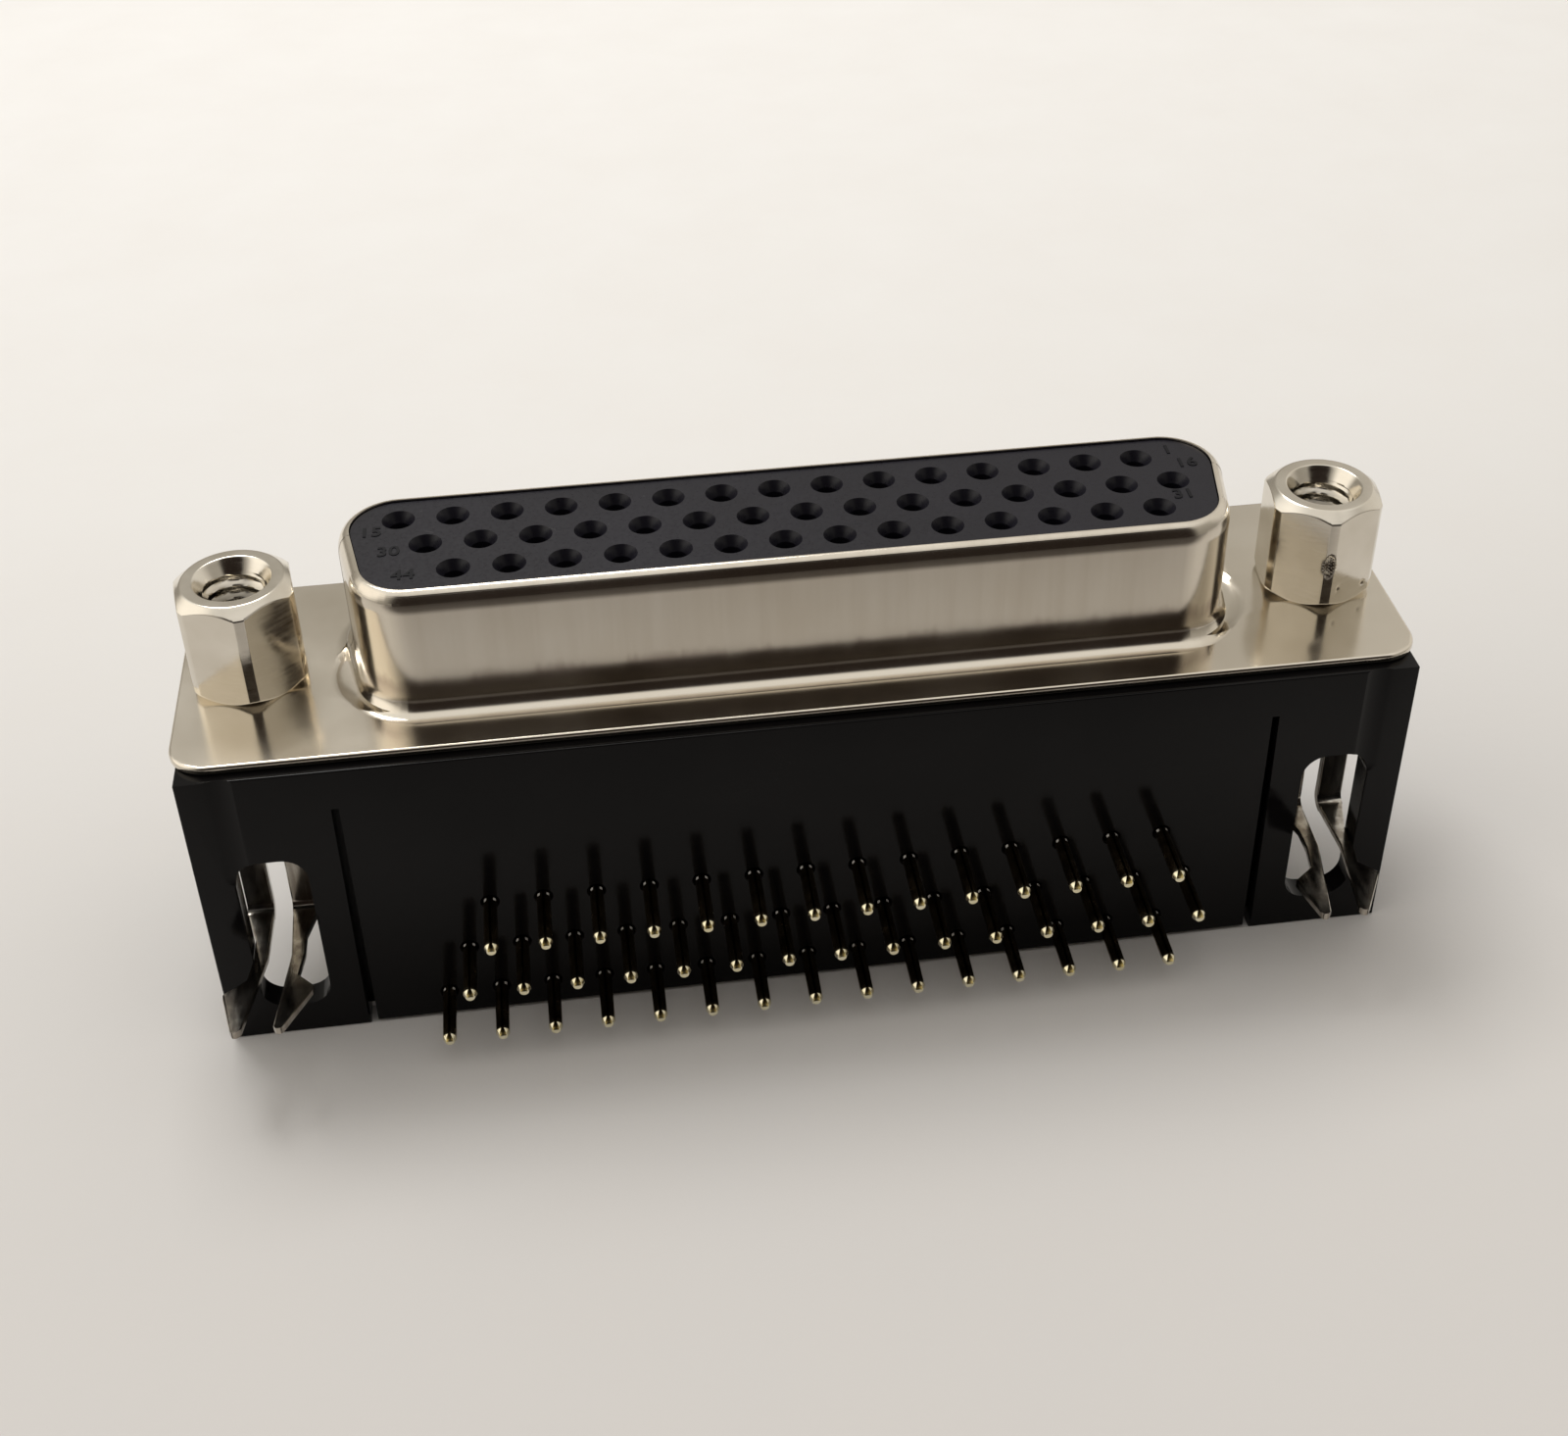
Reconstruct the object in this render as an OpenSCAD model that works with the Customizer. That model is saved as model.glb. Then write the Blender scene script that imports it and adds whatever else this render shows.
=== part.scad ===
// Right-angle high-density D-sub receptacle, 44 positions, with board locks and screwlocks.
// +Z is the mating direction, X runs along the shell and -Y is the circuit-board side.
// The origin is on the axis of the D, in the plane of the rear ends of the two feet.
// Lengths are in millimetres.

/* [Contact grid] */
// Distance between neighbouring contacts in a row
contact_pitch = 2.29; // [2.25:0.01:2.45]
// Distance between the three contact rows
row_pitch = 1.98; // [1.9:0.01:2.2]
// Outer diameter of the socket barrel
barrel_d = 1.1; // [0.95:0.01:1.15]
// Bore of the socket barrel
barrel_bore_d = 0.78; // [0.6:0.01:0.8]
// Outer diameter of the rolled solder tail
tail_d = 0.6; // [0.5:0.01:0.7]
// Thickness of the strip that the contact is rolled from
strip_t = 0.14; // [0.1:0.01:0.17]
// Width of the open seam along the rolled tail
seam_w = 0.1; // [0.06:0.01:0.14]
// Radius of the right-angle bend, on the tail's own axis
tail_bend_r = 1; // [0.7:0.05:1.2]

/* [Solder tails] */
// From the front of the flange to the first row of tails
first_tail_row = 8.45; // [8.2:0.05:10]
// Distance between the rows of tails
tail_row_pitch = 2.54; // [2.3:0.01:2.8]
// From the last row of tails to the rear plane
tail_end_margin = 1.47; // [1.3:0.01:2]
// From the axis of the D to the face that meets the circuit board
board_face = 6.75; // [6.7:0.05:7.5]
// How far the tails stand out of the board face
tail_reach = 3.05; // [2:0.05:4.5]

/* [Metal shell] */
// Sheet thickness of the shell
shell_t = 0.4; // [0.3:0.05:0.5]
// Height of the D above the front of the flange
shell_rise = 5.9; // [5.5:0.1:6.3]
// From the last contact of the widest row to the end of the D
d_end_margin = 3.16; // [3:0.02:3.6]
// From the outer contact rows to the long sides of the D
d_side_margin = 1.97; // [1.85:0.02:2.2]
// Lean of the end walls of the D, in degrees
d_lean = 10; // [6:1:12]
// Corner radius of the D, outside
d_corner_r = 2.6; // [2.2:0.1:2.9]
// Outer radius of the rim that is turned in at the top
rim_r = 0.55; // [0.55:0.05:0.8]
// Radius between the D and the flange
base_fillet_r = 0.8; // [0.5:0.05:0.9]
// From the end of the D to the screw axis
screw_offset = 4.33; // [4.2:0.05:5]
// From the screw axis to the end of the flange
flange_end = 3; // [2.9:0.05:3.5]
// Width of the flange
flange_w = 12.55; // [12.3:0.05:12.9]
// Corner radius of the flange
flange_corner_r = 1.6; // [0.8:0.1:2.4]
// Clearance hole for the screw in the flange
flange_hole_d = 3.05; // [2.95:0.05:3.3]
// Radius of the pressed half-round pocket beside each end of the D
pocket_r = 3.3; // [2.6:0.1:3.3]
// How far the pocket reaches past the end of the D
pocket_reach = 0.95; // [0.6:0.05:1]
// Depth of the pocket
pocket_depth = 0.2; // [0.1:0.01:0.2]
// Width of the sloping outer side of the pocket
pocket_slope = 0.55; // [0.2:0.05:0.6]
// How far the pocket bites into the radius at the foot of the D
pocket_bite = 0.5; // [0.1:0.05:0.5]

/* [Insulators] */
// How far the face of the insulator lies below the rim
face_drop = 0.1; // [0.05:0.05:0.3]
// Diameter of the lead-in funnel at the face
funnel_d = 1.4; // [1.2:0.05:1.5]
// Diameter of the hole below the funnel
entry_d = 0.92; // [0.84:0.02:0.94]
// Depth of the funnel
funnel_depth = 0.45; // [0.3:0.05:0.6]
// Thickness of the front insulator's flange
insulator_flange_t = 1.2; // [1:0.05:1.4]
// Thickness of the rear insulator
rear_insulator_t = 3.8; // [3:0.1:4.2]

/* [Housing] */
// Thickness of the bar behind the flange
bar_t = 2; // [1.9:0.05:2.2]
// Thickness of the foot plates and the tail plate
foot_t = 1.15; // [1:0.05:1.3]
// Thickness of the hood walls
wall_t = 1; // [0.8:0.05:1.1]
// How far the housing stops short of the end of the flange
housing_inset = 0.27; // [0.1:0.01:0.5]
// From the axis of the D to the back of the housing
back_face = 6.2; // [6.1:0.05:6.4]
// Width of the slit between each foot and the tail plate
slit_w = 0.32; // [0.2:0.02:0.4]
// How far the middle stays clear of the rear plane
rear_relief = 0.2; // [0.1:0.05:0.4]
// Width of the slot in each foot for the board lock
window_w = 3; // [2.9:0.05:3.2]
// From the flange to the top of that slot
window_top = 4.95; // [4.5:0.05:5.5]
// Length of that slot
window_len = 8.4; // [8:0.1:8.8]
// Corner radius of that slot
window_corner_r = 1.1; // [0.6:0.05:1.3]

/* [Hardware] */
// Major diameter of the screw thread
thread_d = 2.84; // [2.7:0.02:2.9]
// Across flats of the screwlock
screwlock_af = 4.75; // [4.6:0.05:4.9]
// Height of the screwlock above the flange
screwlock_h = 4.9; // [4.5:0.1:6]
// Diameter across the rounded corners of the screwlock
screwlock_turned_d = 5.26; // [5.15:0.01:5.3]
// Diameter of the flat ring on top of the screwlock
screwlock_crown_d = 4.24; // [4.1:0.02:4.4]
// Diameter of the countersink at the top of the screwlock
countersink_d = 3.4; // [3.2:0.05:3.9]
// Depth of the countersink
countersink_depth = 0.75; // [0.4:0.05:1.2]
// Turn of the left screwlock as it was tightened, in degrees
left_turn = 9; // [-30:1:30]
// Turn of the right screwlock as it was tightened, in degrees
right_turn = -6; // [-30:1:30]
// Thickness of the clinch nut
nut_t = 2.5; // [2:0.1:2.8]
// Sheet thickness of the board lock
lock_t = 0.35; // [0.3:0.01:0.4]
// Distance from the screw axis to the strap of the board lock
strap_offset = 3.5; // [3.4:0.05:3.7]
// From the flange to the upper side of the prongs
prong_level = 10.3; // [9.8:0.1:11]
// How far the prongs stand out of the board face
prong_reach = 4.3; // [4:0.1:5]
// Half width of the strap of the board lock
strap_half_w = 1.55; // [1.45:0.05:1.6]
// Half width over the barbs of the prongs
barb_half_w = 1.9; // [1.75:0.05:2.1]
// Gap between the two prongs
prong_gap = 0.8; // [0.6:0.05:0.9]
// How far the tips of both prongs lean to the left
prong_lean = 0.7; // [0:0.05:0.8]

/* [Hidden] */
$fn = 48;
row_counts = [15, 15, 14];               // wide row, middle row, narrow row
row_y = [row_pitch, 0, -row_pitch];
row_shift = [-contact_pitch / 4, contact_pitch / 4, contact_pitch / 4];
contact_total = row_counts[0] + row_counts[1] + row_counts[2];

flange_z = first_tail_row + 2 * tail_row_pitch + tail_end_margin;
shell_back_z = flange_z - shell_t;
rim_z = flange_z + shell_rise;
face_z = rim_z - face_drop;

d_len = (row_counts[0] - 1) * contact_pitch + 2 * d_end_margin;
d_w = 2 * (row_pitch + d_side_margin);
screw_x = d_len / 2 + screw_offset;
flange_len = 2 * (screw_x + flange_end);

fit = 0.04;                              // clearance of pieces that fit into each other
lead = 0.01;                             // how far a cut runs past a face
edge_chamfer = 0.15;                     // small chamfers on turned parts
flange_seam = 0.2;                       // how far the drawn sheet runs into the flat flange
corner_run = 0.1;                        // how far the ends of the D run into its corners
corner_hair = 0.01;                      // how much thinner they are there, each side

bar_bottom = shell_back_z - bar_t;
shelf_z = shell_back_z - insulator_flange_t;
housing_x = flange_len / 2 - housing_inset;
plate_x = d_len / 2 + 0.7;               // end of the tail plate
foot_inner_x = plate_x + slit_w;
hood_x = foot_inner_x + 0.35;            // the hood's end walls stand behind the slits
hood_inner_x = hood_x - wall_t;
hood_near_y = -board_face + foot_t;
pad_len = 3;                             // the two small pads at the back corners of the hood

flange_insulator_x = d_len / 2 + base_fillet_r + 0.4;    // half size of the insulator's flange
flange_insulator_y = d_w / 2 + base_fillet_r + 0.55;
insulator_corner_r = 1;
cavity_near_y = -flange_insulator_y + 0.3;               // room behind it, open to the hood
cavity_far_y = back_face - wall_t;

barrel_top = face_z - 1.3;               // the sockets stay below the face
barrel_floor = 0.8;                      // solid foot of the socket's bore
slot_floor = 1.6;                        // where the spring slot starts
barrel_nose = 0.06;                      // rounding of the socket's mouth
nose_len = 0.35;                         // solid tip of the solder tail
collar_d = barrel_d + 0.5;
collar_t = 0.45;
collar_z = shelf_z - collar_t;
rear_z = shelf_z - rear_insulator_t;

window_x = screw_x - 0.37;               // the slots sit a little inside the screw axes
prong_z = flange_z - prong_level;
strap_bend_r = 0.35;                     // inside radius of the strap's bends
pad_r = 2.4;                             // the eye of the board lock round the screw
stud_len = shell_t + bar_t + nut_t + 0.3;

steel = [0.72, 0.69, 0.62];
nickel = [0.76, 0.74, 0.68];
tin = [0.80, 0.79, 0.75];
gold = [0.83, 0.70, 0.36];
gloss_black = [0.06, 0.06, 0.06];
satin_black = [0.17, 0.17, 0.19];

function two_digits(n) = n < 10 ? str("0", n) : str(n);
contact_names = [for (n = [1 : contact_total]) str("contact_", two_digits(n))];

// ---- contact positions: 1 to 15, 16 to 30 and 31 to 44, each counted from the right ----

function row_of(n) = n <= row_counts[0] ? 0 : n <= row_counts[0] + row_counts[1] ? 1 : 2;
function place_in_row(n) =
    n - 1 - (row_of(n) > 0 ? row_counts[0] : 0) - (row_of(n) > 1 ? row_counts[1] : 0);
function contact_x(n) =
    let (row = row_of(n), count = row_counts[row])
    row_shift[row] + contact_pitch * ((count - 1) / 2 - place_in_row(n));
function contact_y(n) = row_y[row_of(n)];
function tail_z(n) = flange_z - first_tail_row - tail_row_pitch * (2 - row_of(n));

// ---- the D outline: four corner arcs joined by straight sides ----

d_far_x = d_len / 2 - d_corner_r;
d_mid_y = d_w / 2 - d_corner_r;
d_near_x = d_far_x - 2 * d_mid_y * tan(d_lean);
d_centres = [[d_far_x, d_mid_y], [-d_far_x, d_mid_y], [-d_near_x, -d_mid_y], [d_near_x, -d_mid_y]];
d_angles = [-d_lean, 90, 180 + d_lean, 270, 360 - d_lean];

// The outline of the D, moved outward by grow
module d_outline(grow) {
    r = d_corner_r + grow;
    polygon([for (i = [0 : 3], end = [0, 1])
        d_centres[i] + r * [cos(d_angles[i + end]), sin(d_angles[i + end])]]);
    for (c = d_centres)
        translate(c) circle(r);
}

// A quarter ring whose centre is the origin, in the quadrant of the two signs
module quarter_ring(inner, outer, sx, sy) {
    intersection() {
        difference() {
            circle(outer);
            circle(inner);
        }
        translate([sx < 0 ? -outer : 0, sy < 0 ? -outer : 0])
            square(outer);
    }
}

// Section of the drawn sheet: flange, fillet, wall and the rim turned in at the top.
// Its x is measured outward from the outline of the D, its y is height, and thin takes
// a hair off each side of the sheet.
module shell_section(thin = 0) {
    translate([base_fillet_r, shell_back_z + thin])
        square([flange_seam, shell_t - 2 * thin]);
    translate([base_fillet_r, flange_z + base_fillet_r])
        quarter_ring(base_fillet_r + thin, base_fillet_r + shell_t - thin, -1, -1);
    translate([-shell_t + thin, flange_z + base_fillet_r])
        square([shell_t - 2 * thin, shell_rise - base_fillet_r - rim_r]);
    translate([-rim_r, rim_z - rim_r])
        quarter_ring(rim_r - shell_t + thin, rim_r - thin, 1, 1);
}

// The drawn sheet round the D. The two leaning ends run a little way into the corners,
// and are a hair thinner, so that their own ends lie inside the sheet of the corners.
module drawn_sheet() {
    for (i = [0 : 3]) {
        side = norm(d_centres[(i + 1) % 4] - d_centres[i]);
        leaning = i % 2 == 1;
        run = leaning ? corner_run : 0;
        translate(d_centres[i]) {
            rotate_extrude(start = d_angles[i], angle = d_angles[i + 1] - d_angles[i])
                translate([d_corner_r, 0])
                    shell_section();
            rotate(d_angles[i + 1])
                translate([d_corner_r, side + run, 0])
                    rotate([90, 0, 0])
                        linear_extrude(side + 2 * run)
                            shell_section(leaning ? corner_hair : 0);
        }
    }
}

module rounded_rectangle(length, width, r) {
    square([length - 2 * r, width], center = true);
    square([length, width - 2 * r], center = true);
    for (sx = [-1, 1], sy = [-1, 1])
        translate([sx * (length / 2 - r), sy * (width / 2 - r)])
            circle(r);
}

module at_both_ends() {
    for (side = [-1, 1])
        translate([side * screw_x, 0, 0])
            children();
}

// The pocket beside the right-hand end of the D. It slopes down from its outer edge.
module pocket_tool() {
    depth = min(pocket_depth, shell_t / 2);
    translate([d_len / 2 + pocket_reach - pocket_r, -row_pitch / 3, flange_z - depth])
        rotate_extrude()
            polygon([[0, 0], [pocket_r - pocket_slope, 0], [pocket_r, depth],
                     [pocket_r, depth + base_fillet_r + lead], [0, depth + base_fillet_r + lead]]);
}

module front_shell() {
    color(steel)
        difference() {
            union() {
                translate([0, 0, shell_back_z])
                    linear_extrude(shell_t)
                        difference() {
                            rounded_rectangle(flange_len, flange_w, flange_corner_r);
                            d_outline(base_fillet_r);
                        }
                drawn_sheet();
            }
            for (flip = [0, 1])
                mirror([flip, 0, 0])
                    difference() {
                        pocket_tool();
                        translate([0, 0, shell_back_z])
                            linear_extrude(shell_rise)
                                d_outline(base_fillet_r - pocket_bite);
                    }
            at_both_ends()
                translate([0, 0, shell_back_z - 1])
                    cylinder(h = shell_t + 2, d = flange_hole_d);
        }
}

// One contact cavity: funnel, entry hole and the room for the socket barrel
module cavity_tool() {
    top = face_z + lead;
    cavity_r = barrel_d / 2 + fit;
    rotate_extrude()
        polygon([[0, top], [funnel_d / 2, top], [funnel_d / 2, face_z],
                 [entry_d / 2, face_z - funnel_depth],
                 [entry_d / 2, barrel_top + fit], [cavity_r, barrel_top + fit],
                 [cavity_r, shelf_z - lead], [0, shelf_z - lead]]);
}

module front_insulator() {
    color(satin_black)
        difference() {
            union() {
                translate([0, 0, shelf_z])
                    linear_extrude(face_z - shelf_z)
                        d_outline(-rim_r - fit);
                translate([0, 0, shelf_z])
                    linear_extrude(rim_z - rim_r - fit - shelf_z)
                        d_outline(-shell_t - fit);
                translate([0, 0, shelf_z])
                    linear_extrude(insulator_flange_t)
                        rounded_rectangle(2 * flange_insulator_x, 2 * flange_insulator_y,
                                          insulator_corner_r);
            }
            for (n = [1 : contact_total])
                translate([contact_x(n), contact_y(n), 0])
                    cavity_tool();
        }
}

// Hole through the rear insulator, wider at the top for the collar of the contact
module collar_tool() {
    rotate_extrude()
        polygon([[0, shelf_z + lead], [collar_d / 2 + fit, shelf_z + lead],
                 [collar_d / 2 + fit, collar_z], [tail_d / 2 + fit, collar_z],
                 [tail_d / 2 + fit, rear_z - lead], [0, rear_z - lead]]);
}

module rear_insulator() {
    length = 2 * (hood_inner_x - fit);
    near_y = cavity_near_y + fit;
    far_y = cavity_far_y - fit;
    step_y = row_pitch + collar_d;
    color(satin_black)
        difference() {
            union() {
                translate([-length / 2, near_y, shelf_z - rear_insulator_t / 2])
                    cube([length, far_y - near_y, rear_insulator_t / 2]);
                translate([-length / 2, -step_y, rear_z])
                    cube([length, 2 * step_y, rear_insulator_t]);
            }
            for (n = [1 : contact_total])
                translate([contact_x(n), contact_y(n), 0])
                    collar_tool();
        }
}

// ---- contacts ----

// Section of the rolled strip, with its open seam towards +X
module rolled_section() {
    difference() {
        circle(d = tail_d);
        circle(d = tail_d - 2 * strip_t);
        translate([0, -seam_w / 2])
            square([tail_d, seam_w]);
    }
}

// Socket barrel with its spring slot, and the collar that the two insulators trap
module socket_barrel() {
    difference() {
        rotate_extrude()
            polygon([[0, collar_z], [collar_d / 2, collar_z], [collar_d / 2, shelf_z - fit],
                     [barrel_d / 2, shelf_z - fit], [barrel_d / 2, barrel_top - edge_chamfer],
                     [barrel_d / 2 - barrel_nose, barrel_top], [barrel_bore_d / 2, barrel_top],
                     [barrel_bore_d / 2, shelf_z + barrel_floor], [0, shelf_z + barrel_floor]]);
        translate([-seam_w, -barrel_d, shelf_z + slot_floor])
            cube([2 * seam_w, 2 * barrel_d, barrel_top - shelf_z]);
    }
}

// Tip of the tail: the seam opens into a V and the end is tapered
module tail_tip_cut() {
    taper = 0.1;
    rotate_extrude()
        polygon([[tail_d / 2 - taper, 0], [tail_d / 2 + lead, -2 * taper - 2 * lead],
                 [tail_d / 2 + lead, lead], [tail_d / 2 - taper, lead]]);
    translate([0, 0, lead])
        rotate([90, 0, 90])
            linear_extrude(tail_d)
                polygon([[-seam_w * 1.5, 0], [seam_w * 1.5, 0], [0, -tail_d * 0.6]]);
}

module contact(n) {
    z = tail_z(n);
    run = board_face + tail_reach + contact_y(n) - tail_bend_r;
    color(gold)
        translate([contact_x(n), contact_y(n), 0]) {
            socket_barrel();
            translate([0, 0, z + tail_bend_r])
                linear_extrude(collar_z - z - tail_bend_r)
                    rotate(-90)
                        rolled_section();
            translate([0, -tail_bend_r, z + tail_bend_r])
                rotate([0, 90, 0])
                    rotate_extrude(angle = 90)
                        translate([tail_bend_r, 0])
                            rotate(180)
                                rolled_section();
            translate([0, -tail_bend_r, z])
                rotate([90, 0, 0])
                    difference() {
                        union() {
                            linear_extrude(run)
                                rotate(90)
                                    rolled_section();
                            // the bore is pressed shut at the tip
                            translate([0, 0, run - nose_len])
                                cylinder(h = nose_len, d = tail_d - strip_t);
                        }
                        translate([0, 0, run])
                            rotate(90)
                                tail_tip_cut();
                    }
        }
}

// ---- housing ----

// One end of the housing, drawn at the right-hand side
module foot() {
    difference() {
        translate([foot_inner_x, -board_face, 0])
            cube([housing_x - foot_inner_x, foot_t, bar_bottom + lead]);
        translate([window_x, -board_face + foot_t + 1, flange_z - window_top - window_len / 2])
            rotate([90, 0, 0])
                linear_extrude(foot_t + 2)
                    rounded_rectangle(window_w, window_len, window_corner_r);
    }
    // brace between the foot and the bar, short of the clinch nut
    brace_drop = 3.4;
    brace_y = -screwlock_af / sqrt(3) - 0.2;
    translate([housing_x - wall_t, 0, 0])
        rotate([90, 0, 90])
            linear_extrude(wall_t)
                polygon([[hood_near_y - lead, bar_bottom + lead], [brace_y, bar_bottom + lead],
                         [hood_near_y - lead, bar_bottom - brace_drop]]);
}

// Room in the bar for the eye and the strap of the board lock, and the hole for the screw
module lock_seat() {
    translate([0, 0, shell_back_z - lock_t])
        linear_extrude(lock_t + lead) {
            circle(pad_r + fit);
            translate([-pad_r - fit, -strap_offset - lock_t / 2 - fit])
                square([2 * (pad_r + fit), strap_offset + lock_t / 2 + fit]);
        }
    translate([-strap_half_w - fit, -strap_offset - lock_t / 2 - fit, bar_bottom - 1])
        cube([2 * (strap_half_w + fit), lock_t + strap_bend_r + 2 * fit, bar_t + 1]);
    translate([0, 0, bar_bottom - 1])
        cylinder(h = bar_t + 2, d = thread_d + 0.4);
}

// Shallow groove that sets off the outer edge strip of each foot
module edge_groove() {
    groove_r = 1.5;
    groove_depth = 0.12;
    groove_len = 5.2;
    translate([housing_x - 1.75, -board_face - groove_r + groove_depth, shell_back_z - groove_len]) {
        cylinder(h = groove_len + 1, r = groove_r);
        sphere(groove_r);
    }
}

module housing() {
    color(gloss_black)
        difference() {
            union() {
                translate([-housing_x, -board_face, bar_bottom])
                    cube([2 * housing_x, board_face + back_face, bar_t]);
                translate([-hood_x, hood_near_y, rear_relief])
                    cube([2 * hood_x, back_face - hood_near_y, bar_bottom - rear_relief + lead]);
                for (flip = [0, 1])
                    mirror([flip, 0, 0]) {
                        foot();
                        translate([hood_x - pad_len, back_face - wall_t, 0])
                            cube([pad_len, wall_t, rear_relief + lead]);
                    }
            }
            translate([-hood_inner_x, cavity_near_y, bar_bottom - lead])
                cube([2 * hood_inner_x, cavity_far_y - cavity_near_y, bar_t + 1]);
            translate([-hood_inner_x, hood_near_y - 1, -1])
                cube([2 * hood_inner_x, cavity_far_y - hood_near_y + 1, bar_bottom + 1]);
            translate([0, 0, shelf_z])
                linear_extrude(insulator_flange_t + 1)
                    rounded_rectangle(2 * (flange_insulator_x + fit), 2 * (flange_insulator_y + fit),
                                      insulator_corner_r);
            at_both_ends()
                lock_seat();
            for (flip = [0, 1])
                mirror([flip, 0, 0])
                    edge_groove();
        }
}

// Plate on the board side that lines up the 44 tails
module tail_plate() {
    hole_r = tail_d / 2 + fit;
    rim = 0.08;
    color(gloss_black)
        difference() {
            translate([-plate_x, -board_face, rear_relief])
                cube([2 * plate_x, foot_t, bar_bottom - rear_relief]);
            for (n = [1 : contact_total])
                translate([contact_x(n), -board_face, tail_z(n)])
                    rotate([-90, 0, 0])
                        rotate_extrude()
                            polygon([[0, -lead], [hole_r + rim, -lead], [hole_r + rim, 0],
                                     [hole_r, rim], [hole_r, foot_t + lead], [0, foot_t + lead]]);
        }
}

// ---- hardware ----

// Hexagon socket screwlock: turned outside, threaded bore on top and a stud below
module screwlock(turn) {
    turned_r = screwlock_turned_d / 2;
    crown_drop = (screwlock_turned_d - screwlock_crown_d) / 2 * tan(40);
    bore_r = thread_d / 2;
    floor_h = 0.7;
    color(nickel)
        translate([0, 0, flange_z])
            difference() {
                union() {
                    intersection() {
                        rotate(turn - 90)
                            cylinder(h = screwlock_h, d = screwlock_af / cos(30), $fn = 6);
                        rotate_extrude()
                            polygon([[0, 0], [turned_r - edge_chamfer, 0], [turned_r, edge_chamfer],
                                     [turned_r, screwlock_h - crown_drop],
                                     [screwlock_crown_d / 2, screwlock_h], [0, screwlock_h]]);
                    }
                    translate([0, 0, -stud_len])
                        cylinder(h = stud_len + lead, d = thread_d);
                }
                rotate_extrude()
                    polygon([[0, floor_h], [bore_r, floor_h + 0.5],
                             [bore_r, screwlock_h - countersink_depth],
                             [countersink_d / 2, screwlock_h],
                             [countersink_d / 2, screwlock_h + lead], [0, screwlock_h + lead]]);
            }
}

module clinch_nut() {
    color(nickel)
        translate([0, 0, bar_bottom - nut_t])
            difference() {
                cylinder(h = nut_t, d = screwlock_af / cos(30), $fn = 6);
                translate([0, 0, -1])
                    cylinder(h = nut_t + 2, d = thread_d + fit);
            }
}

// Side section of the strap: eye, bend, straight strap, bend towards the board
module strap_section() {
    outer = strap_bend_r + lock_t;
    strap_y = -strap_offset - lock_t / 2;
    eye_z = shell_back_z;
    translate([strap_y + outer, eye_z - lock_t])
        square([pad_r - strap_y, lock_t]);
    translate([strap_y + outer, eye_z - outer])
        quarter_ring(strap_bend_r, outer, -1, 1);
    translate([strap_y, prong_z + strap_bend_r])
        square([lock_t, eye_z - outer - prong_z - strap_bend_r]);
    translate([strap_y - strap_bend_r, prong_z + strap_bend_r])
        quarter_ring(strap_bend_r, outer, 1, -1);
}

// One prong seen from above: neck, barb and blunt point. Beyond the board face it leans.
module prong_outline(side) {
    root_y = -strap_offset - lock_t / 2 - strap_bend_r;
    board_y = -board_face;
    tip_y = board_y - prong_reach;
    barb_y = tip_y + 2.3;
    inner_x = prong_gap / 2;
    neck_x = strap_half_w - 0.45;
    outline = [[inner_x, root_y + lead], [strap_half_w, root_y + lead], [neck_x, board_y + foot_t],
               [neck_x, board_y], [neck_x, barb_y + 0.75], [barb_half_w - 0.15, barb_y + 0.15],
               [barb_half_w, barb_y - 0.05],
               [barb_half_w - 0.05, barb_y - 0.3], [inner_x + 0.75, tip_y + 0.2], [inner_x + 0.6, tip_y],
               [inner_x + 0.4, tip_y], [inner_x + 0.25, tip_y + 0.2], [inner_x + 0.1, board_y]];
    polygon([for (p = outline)
        [side * p[0] - prong_lean * max(0, board_y - p[1]) / prong_reach, p[1]]]);
}

module board_lock() {
    color(tin) {
        difference() {
            translate([-pad_r, 0, 0])
                rotate([90, 0, 90])
                    linear_extrude(2 * pad_r)
                        strap_section();
            // round end of the eye
            translate([0, 0, shell_back_z - lock_t - 1])
                linear_extrude(lock_t + 2)
                    difference() {
                        translate([-pad_r - 1, 0])
                            square([2 * pad_r + 2, pad_r + strap_offset]);
                        circle(pad_r);
                    }
            // the strap and its bends are narrower than the eye
            for (flip = [0, 1])
                mirror([flip, 0, 0])
                    translate([strap_half_w, strap_bend_r + lock_t / 2 - 2 * strap_offset, -1])
                        cube([pad_r, strap_offset, flange_z + 2]);
            // gap between the two legs
            translate([-prong_gap / 2, -strap_offset - 2, prong_z - 1])
                cube([prong_gap, 4, flange_z - window_top + 0.8 - prong_z + 1]);
            translate([0, 0, shell_back_z - 1])
                cylinder(h = 2, d = thread_d + 0.2);
        }
        translate([0, 0, prong_z - lock_t])
            linear_extrude(lock_t)
                for (side = [-1, 1])
                    prong_outline(side);
    }
}

front_shell();
front_insulator();
rear_insulator();
housing();
tail_plate();
translate([-screw_x, 0, 0]) screwlock(left_turn);  // screwlock_left
translate([screw_x, 0, 0]) screwlock(right_turn);  // screwlock_right
translate([-screw_x, 0, 0]) clinch_nut();  // clinch_nut_left
translate([screw_x, 0, 0]) clinch_nut();  // clinch_nut_right
translate([-screw_x, 0, 0]) board_lock();  // board_lock_left
translate([screw_x, 0, 0]) board_lock();  // board_lock_right
for (n = [1 : contact_total])
    contact(n);
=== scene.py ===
"""Looks of the right-angle high-density D-sub connector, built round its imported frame."""

import math

import bmesh
import bpy
from mathutils import Matrix, Vector

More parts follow.
